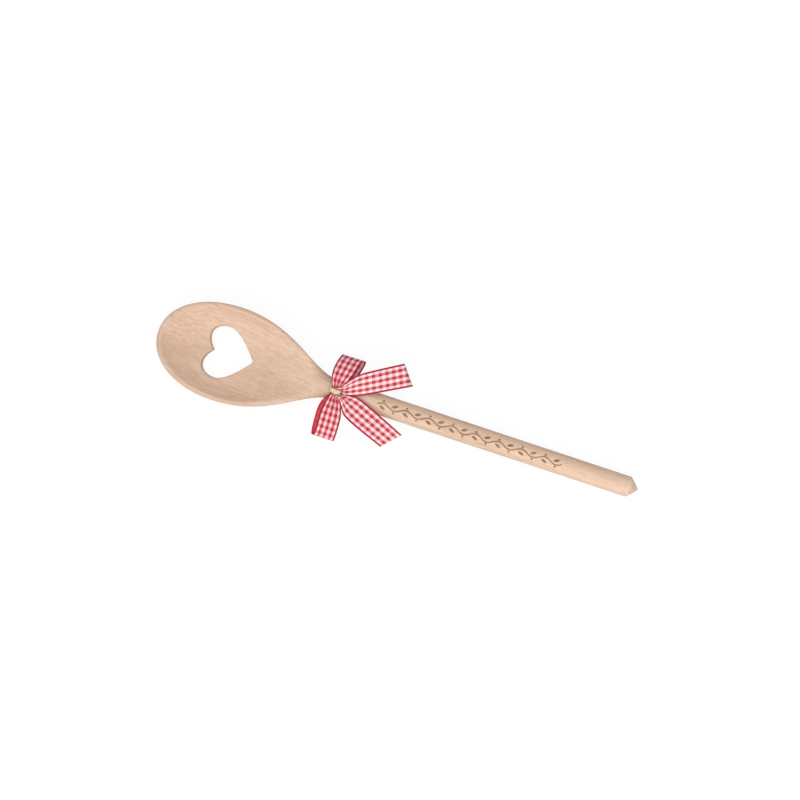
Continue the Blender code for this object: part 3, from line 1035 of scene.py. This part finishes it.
@dataclass
class BowLoops(Ribbon):
    """One strip folded into two loops, its ends meeting under the tie.

    The end turn keeps the two ends apart. A loop's slant doesn't change within its straight share.
    """

    back_layer: float = 0.0081
    front_layer: float = 0.0096
    stations: int = 110
    end_turn: float = 0.015
    straight_share: float = 0.05
    fullness_power: float = 0.5
    spread_power: float = 2.4
    upper: Loop = field(
        default_factory=lambda: Loop(
            side=Side.UPPER,
            reach=0.0224,
            lean=0.0045,
            lean_powers=(1.1, 0.9),
            roll=math.radians(8),
            opening=math.radians(15),
            droop=0.0080,
            swell=0.0070,
            spreads=(0.0160, 0.0140),
        )
    )
    lower: Loop = field(
        default_factory=lambda: Loop(
            side=Side.LOWER,
            reach=0.0282,
            lean=0.0012,
            lean_powers=(0.25, 2.0),
            roll=math.radians(-5),
            opening=math.radians(-15),
            droop=0.0055,
            swell=0.0062,
            spreads=(0.0170, 0.0132),
        )
    )

    def edges(self, loop: Loop, turn: float) -> tuple[Vector, Vector]:
        """Both edges of a loop at one station.

        Args:
            loop: the loop.
            turn: angle round the loop, from 0 on its front at the waist to pi on its back at the waist.

        Returns:
            The edge towards the bowl and the edge towards the handle's end.
        """
        along = loop.reach * math.sin(turn)
        away = smooth((along - self.tie_half_width) / (4 * self.tie_half_width))
        rolled, opened = loop.roll * away, loop.opening * away
        step = self.front_layer - self.back_layer
        fullness = math.sin(turn) * signed_power(math.cos(turn), self.fullness_power)
        stand = step / 2 * math.cos(turn) + loop.swell * fullness * away
        out = Vector((-math.sin(opened), 0, math.cos(opened)))
        share = along / loop.reach
        layer = int(math.cos(turn) < 0)
        power = loop.lean_powers[layer]
        slant = loop.lean * power * max(share, self.straight_share) ** (power - 1) / loop.reach
        middle = Vector((
            loop.lean * share**power,
            loop.side.value * along,
            (self.back_layer + self.front_layer) / 2 - loop.droop * share**2,
        ))
        spread = min(max(along - self.tie_half_width, 0.0) / loop.spreads[layer], 1.0)
        opened_out = 1 - (1 - spread) ** self.spread_power
        half = mix(self.gathered_width, self.width, opened_out) / 2 * math.hypot(1, slant)
        centre = placed(*WAIST, NECK_AXIS) + middle + out * stand
        side = Vector((math.cos(rolled), 0, math.sin(rolled))) * half
        return centre - side, centre + side

    def build(self, finishes: list[bpy.types.Material]) -> bpy.types.Object:
        """Fold the strip: back of the upper loop, both fronts, back of the lower loop.

        Args:
            finishes: what the outer side, the lower loop's inner side and the upper loop's wear, each with
                its own painted light or shade.

        Returns:
            The loops.
        """
        turns = [mix(self.end_turn, math.pi, i / self.stations) for i in range(self.stations + 1)]
        outward = [self.edges(self.upper, math.pi - turn) for turn in turns]
        back = [self.edges(self.lower, math.pi - turn) for turn in reversed(turns)]
        edges = outward[:-1] + back
        along = lengths([(left + right) / 2 for left, right in edges])
        piece = self.strip("ribbon_loops", edges, [(length, length) for length in along], finishes)
        # The upper loop stands open to the light, so its inner side wears the last finish, which has painted
        # light
        for face in piece.data.polygons:
            if face.material_index == 1 and face.center.y > WAIST[1]:
                face.material_index = len(finishes) - 1
        return piece


@dataclass
class Tail:
    """One tail of the bow.

    Its edges are drawn from above, in millimetres from the waist: along the handle, and away from it. Its
    arches are how far the outer and the inner edge rise. Its stripes are how far the two corners of the
    cut end lie beyond the last red stripe.
    """

    side: Side
    outer: tuple[tuple[float, float], ...]
    inner: tuple[tuple[float, float], ...]
    arches: tuple[float, float]
    stripes: tuple[float, float]


@dataclass
class BowTails(Ribbon):
    """One strip laid over the loops and pinched in its middle, so that its ends are the two tails."""

    layer: float = 0.0114
    pleat_share: float = 0.65
    arch_length: float = 0.0080
    fall: float = 0.0060
    steps: int = 14
    upper: Tail = field(
        default_factory=lambda: Tail(
            side=Side.UPPER,
            outer=(
                *((-2.0, 0.0), (-0.7, 1.6), (2.7, 3.6), (4.5, 6.2)),
                *((7.0, 9.7), (9.9, 13.1), (14.7, 16.8), (33.6, 28.5)),
            ),
            inner=(
                *((2.0, 0.0), (2.8, 0.9), (4.1, 0.8), (5.2, -0.4)),
                *((8.0, -0.1), (11.6, 0.9), (18.0, 3.7), (42.7, 17.2)),
            ),
            arches=(0.0018, -0.0030),
            stripes=(-0.0010, 0.0027),
        )
    )
    lower: Tail = field(
        default_factory=lambda: Tail(
            side=Side.LOWER,
            outer=(
                *((-2.0, 0.0), (-0.3, 1.6), (2.6, 2.9), (4.6, 4.7)),
                *((7.0, 8.3), (9.2, 11.6), (16.8, 15.5), (35.4, 22.7)),
            ),
            inner=(
                *((2.0, 0.0), (2.8, 1.0), (4.1, 1.2), (6.2, 0.2)),
                *((9.1, -0.4), (13.9, -0.7), (21.5, 1.8), (45.4, 12.0)),
            ),
            arches=(0.0004, -0.0026),
            stripes=(0.0009, 0.0036),
        )
    )

    def edges(self, tail: Tail) -> list[tuple[Vector, Vector]]:
        """Both edges of one tail.

        Args:
            tail: the tail.

        Returns:
            Outer and inner edge of each station, from the waist out to the cut end.
        """
        waist = placed(*WAIST, NECK_AXIS)
        drawn = []
        for edge in (tail.outer, tail.inner):
            corners = [Vector((x / 1000, tail.side.value * y / 1000, 0.0)) for x, y in edge]
            drawn.append(smooth_path(corners, self.steps))
        pairs = list(zip(*drawn))
        far = (sum(pairs[-1], Vector()) / 2).length
        made = []
        for pair in pairs:
            distance = (sum(pair, Vector()) / 2).length
            risen = smooth((distance - self.tie_half_width) / self.arch_length)
            fallen = (distance / far) ** 2
            heights = [self.layer + arch * (risen - fallen) - self.fall * fallen for arch in tail.arches]
            outer, inner = (waist + at + Vector((0, 0, height)) for at, height in zip(pair, heights))
            made.append((outer, inner))
        return made

    def cloth(self, tail: Tail, edges: list[tuple[Vector, Vector]]) -> list[tuple[float, float]]:
        """Lay the woven checks along a tail, counted back from its cut end.

        Args:
            tail: the tail.
            edges: both its edges.

        Returns:
            How far along the checks each station is, at both edges.
        """
        outer, inner = (lengths(list(edge)) for edge in zip(*edges))
        starts = tail.stripes[0] - outer[-1], tail.stripes[1] - inner[-1]
        return [(starts[0] + first, starts[1] + second) for first, second in zip(outer, inner)]

    def build(self, finishes: list[bpy.types.Material]) -> bpy.types.Object:
        """Lay the strip from the upper tail's end to the lower tail's end.

        Args:
            finishes: what the ribbon wears.

        Returns:
            The tails.
        """
        upper, lower = self.edges(self.upper), self.edges(self.lower)
        cloth = self.cloth(self.upper, upper)[:0:-1] + self.cloth(self.lower, lower)
        return self.strip("ribbon_tails", upper[:0:-1] + lower, cloth, finishes)


@dataclass
class Tie:
    """Gilt wire: turns round the bow's waist, then once round the neck and twisted off under it.

    Its points are reckoned from the waist. The wrap's start and end are in degrees from straight up.
    """

    diameter: float = 0.00056
    pitch: float = 0.00058
    turns: int = 4
    half_length: float = 0.0036
    corner: float = 4.0
    side_taper: float = 0.45
    taper_power: int = 3
    under: float = 0.0069
    over: float = 0.0123
    turn_points: int = 24
    wrap_start: int = 25
    wrap_end: int = 165
    wrap_step: int = 10
    wrap_reach: float = 0.75
    twist_orbit: float = 0.00034
    twist_drop: float = 0.00030
    twist_pitch: float = 0.0030
    twist_turns: int = 3
    path_steps: int = 2
    roundness: int = 3

    def waist_turns(self) -> list[Vector]:
        """Turns round the gathered ribbons, bunched together at their two ends.

        Returns:
            Points along the wire.
        """
        half_high = (self.over - self.under) / 2
        power = 2.0 / self.corner
        count = self.turns * self.turn_points
        points = []
        for i in range(count + 1):
            share = i / count
            turn = 2 * math.pi * self.turns * share - math.pi / 2
            bunched = mix(1.0, self.side_taper, abs(math.cos(turn)) ** self.taper_power)
            points.append(Vector((
                self.half_length * signed_power(math.cos(turn), power),
                self.turns * self.pitch * (share - 0.5) * bunched,
                self.under + half_high * (1 + signed_power(math.sin(turn), power)),
            )))
        return points

    def neck_wrap(self, way: int) -> list[Vector]:
        """Half a turn round one side of the neck, from beside the waist down to the underside.

        Args:
            way: 1 for the side of +y and -1 for the side of -y.

        Returns:
            Points along the wire.
        """
        points = []
        for degrees in range(self.wrap_start, self.wrap_end + 1, self.wrap_step):
            turn = math.radians(degrees)
            share = (degrees - self.wrap_start) / (self.wrap_end - self.wrap_start)
            x = way * self.half_length * self.wrap_reach * (1 - smooth(share))
            y = way * self.under * math.sin(turn) - WAIST[1]
            points.append(Vector((x, y, self.under * math.cos(turn))))
        return points

    def twisted_end(self, way: int) -> list[Vector]:
        """One of the two strands twisted together under the neck.

        Args:
            way: 1 for the strand that comes from +y and -1 for the other.

        Returns:
            Points along the wire.
        """
        depth = self.under + self.twist_orbit + self.twist_drop
        count = self.twist_turns * self.turn_points // 2
        points = []
        for i in range(count + 1):
            turn = 2 * math.pi * self.twist_turns * i / count
            x = self.twist_pitch * (self.twist_turns * i / count + 0.5)
            y = way * self.twist_orbit * math.cos(turn) - WAIST[1]
            points.append(Vector((x, y, way * self.twist_orbit * math.sin(turn) - depth)))
        return points

    def build(self) -> bpy.types.Object:
        """Bend the wire and make it round.

        Returns:
            The wire.
        """
        first = self.neck_wrap(-1) + self.twisted_end(-1)
        last = self.neck_wrap(1) + self.twisted_end(1)
        waist = placed(*WAIST, NECK_AXIS)
        path = smooth_path(first[::-1] + self.waist_turns() + last, self.path_steps)
        bpy.ops.object.select_all(action="DESELECT")
        bpy.ops.curve.primitive_bezier_curve_add()
        piece = bpy.context.object
        piece.name = piece.data.name = "gilt_wire"
        curve = piece.data
        curve.splines.clear()
        curve.bevel_depth = self.diameter / 2
        curve.bevel_resolution = self.roundness
        curve.use_fill_caps = True
        line = curve.splines.new("POLY")
        line.points.add(len(path) - 1)
        for point, place in zip(line.points, path):
            point.co = (*(place + waist), 1.0)
        bpy.ops.object.convert(target="MESH")
        return bpy.context.object

    def dress(self, piece: bpy.types.Object) -> None:
        """Give the wire its gilt.

        Args:
            piece: the bent wire.
        """
        piece.data.materials.append(GiltWire().material())
        mount(piece, Body.BOW, Slot.WIRE)
        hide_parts("tie_wire")


@dataclass(frozen=True)
class SoftBox:
    """A soft light: how far it stands towards the picture's lower side, towards its left, and up."""

    name: str
    power: float
    size: float
    low: float
    left: float
    up: float


@dataclass
class Studio:
    """White table, soft light from the lower left of the picture, and a camera straight above."""

    camera_height: float = 0.86
    frame_width: float = 0.4752
    plane_height: float = 0.010
    centre: tuple[float, float] = (-0.0017, 0.00625)
    turn: float = math.radians(18.324)
    sensor: float = 36.0
    key: SoftBox = SoftBox("key", power=29.6, size=2.2, low=1.2, left=0.5, up=2.6)
    fill: SoftBox = SoftBox("fill", power=25.0, size=2.4, low=-0.7, left=0.0, up=3.0)
    card: SoftBox = SoftBox("card", power=12.0, size=1.4, low=2.0, left=0.0, up=0.5)
    sky: float = 0.46
    bounce: float = 0.32
    table_size: float = 6.0
    table_gap: float = 0.0001
    table_white: float = 0.92
    table_shade: float = 0.09

    def seen(self, tree: bpy.types.NodeTree) -> bpy.types.NodeSocket:
        """Tell looking at the background from being lit by it.

        Args:
            tree: the background's node tree.

        Returns:
            1 where the camera sees the background, directly or in a mirror or glass, and 0 for its light.
        """
        path = add_node(tree, "LightPath", {})
        rays = path.outputs["Is Camera Ray"]
        for name in ("Is Glossy Ray", "Is Transmission Ray"):
            rays = add_node(tree, "Math", {0: rays, 1: path.outputs[name]}, operation="MAXIMUM").outputs[0]
        return rays

    def table(self) -> None:
        """White table that keeps the spoon's shadow."""
        bpy.ops.object.select_all(action="DESELECT")
        bpy.ops.mesh.primitive_plane_add(size=self.table_size, location=(0, 0, -self.table_gap))
        table = bpy.context.object
        table.name = "table"
        material, tree, shader = new_material("white paper")
        # Paper that glows to the camera looks white, and its small diffuse share still takes a shadow.
        # Towards the spoon it glows too, at the bounce strength: painted light that stands in for light
        # bounced off the paper
        lift = add_node(
            tree, "MapRange", {"Value": self.seen(tree), "To Min": self.bounce, "To Max": self.table_white}
        ).outputs[0]
        glow = add_node(tree, "Emission", {"Color": (1, 1, 1, 1), "Strength": lift})
        paper = add_node(tree, "BsdfDiffuse", {"Color": (*[self.table_shade] * 3, 1)})
        both = add_node(tree, "AddShader", {0: glow.outputs[0], 1: paper.outputs[0]})
        tree.links.new(both.outputs[0], tree.nodes["Material Output"].inputs["Surface"])
        tree.nodes.remove(shader)
        table.data.materials.append(material)

    def lamp(self, box: SoftBox) -> None:
        """Set up a soft box that faces the spoon.

        Args:
            box: the soft box.
        """
        low = Vector((math.sin(self.turn), -math.cos(self.turn), 0))
        left = Vector((-math.cos(self.turn), -math.sin(self.turn), 0))
        at = low * box.low + left * box.left + Vector((0, 0, box.up))
        bpy.ops.object.light_add(type="AREA", location=at)
        lamp = bpy.context.object
        lamp.name = box.name
        lamp.data.energy = box.power
        lamp.data.size = box.size
        lamp.rotation_euler = (-at).to_track_quat("-Z", "Y").to_euler()

    def build(self) -> None:
        """Set up table, lights, sky and camera."""
        self.table()
        for box in (self.key, self.fill, self.card):
            self.lamp(box)
        world = bpy.data.worlds.new("studio")
        bpy.context.scene.world = world
        world.use_nodes = True
        tree = world.node_tree
        strength = add_node(
            tree, "MapRange", {"Value": self.seen(tree), "To Min": self.sky, "To Max": 1.0}
        ).outputs[0]
        tree.nodes["Background"].inputs["Color"].default_value = (1, 1, 1, 1)
        tree.links.new(strength, tree.nodes["Background"].inputs["Strength"])
        bpy.ops.object.camera_add(location=(*self.centre, self.camera_height), rotation=(0, 0, self.turn))
        camera = bpy.context.object
        camera.data.sensor_width = self.sensor
        distance = self.camera_height - self.plane_height
        camera.data.lens = self.sensor * distance / self.frame_width
        bpy.context.scene.camera = camera
        bpy.context.scene.view_settings.view_transform = "Standard"


def main() -> None:
    """Build every piece in order."""
    logging.basicConfig(level=logging.INFO, format="%(message)s")
    Studio().build()
    spoon = Spoon()
    spoon.dress(spoon.build())
    loops = BowLoops()
    # The loops wear the copies of the checks with painted shade and painted light
    checks = [check.material() for check in (SHADED_DOUBLED_GINGHAM, LIT_RED_INSIDE_GINGHAM, LIT_GINGHAM)]
    loops.finish(loops.build(checks), "bow_loops")
    tails = BowTails()
    tails.finish(tails.build([SINGLE_GINGHAM.material()]), "bow_tails")
    tie = Tie()
    tie.dress(tie.build())


if __name__ == "__main__":
    main()
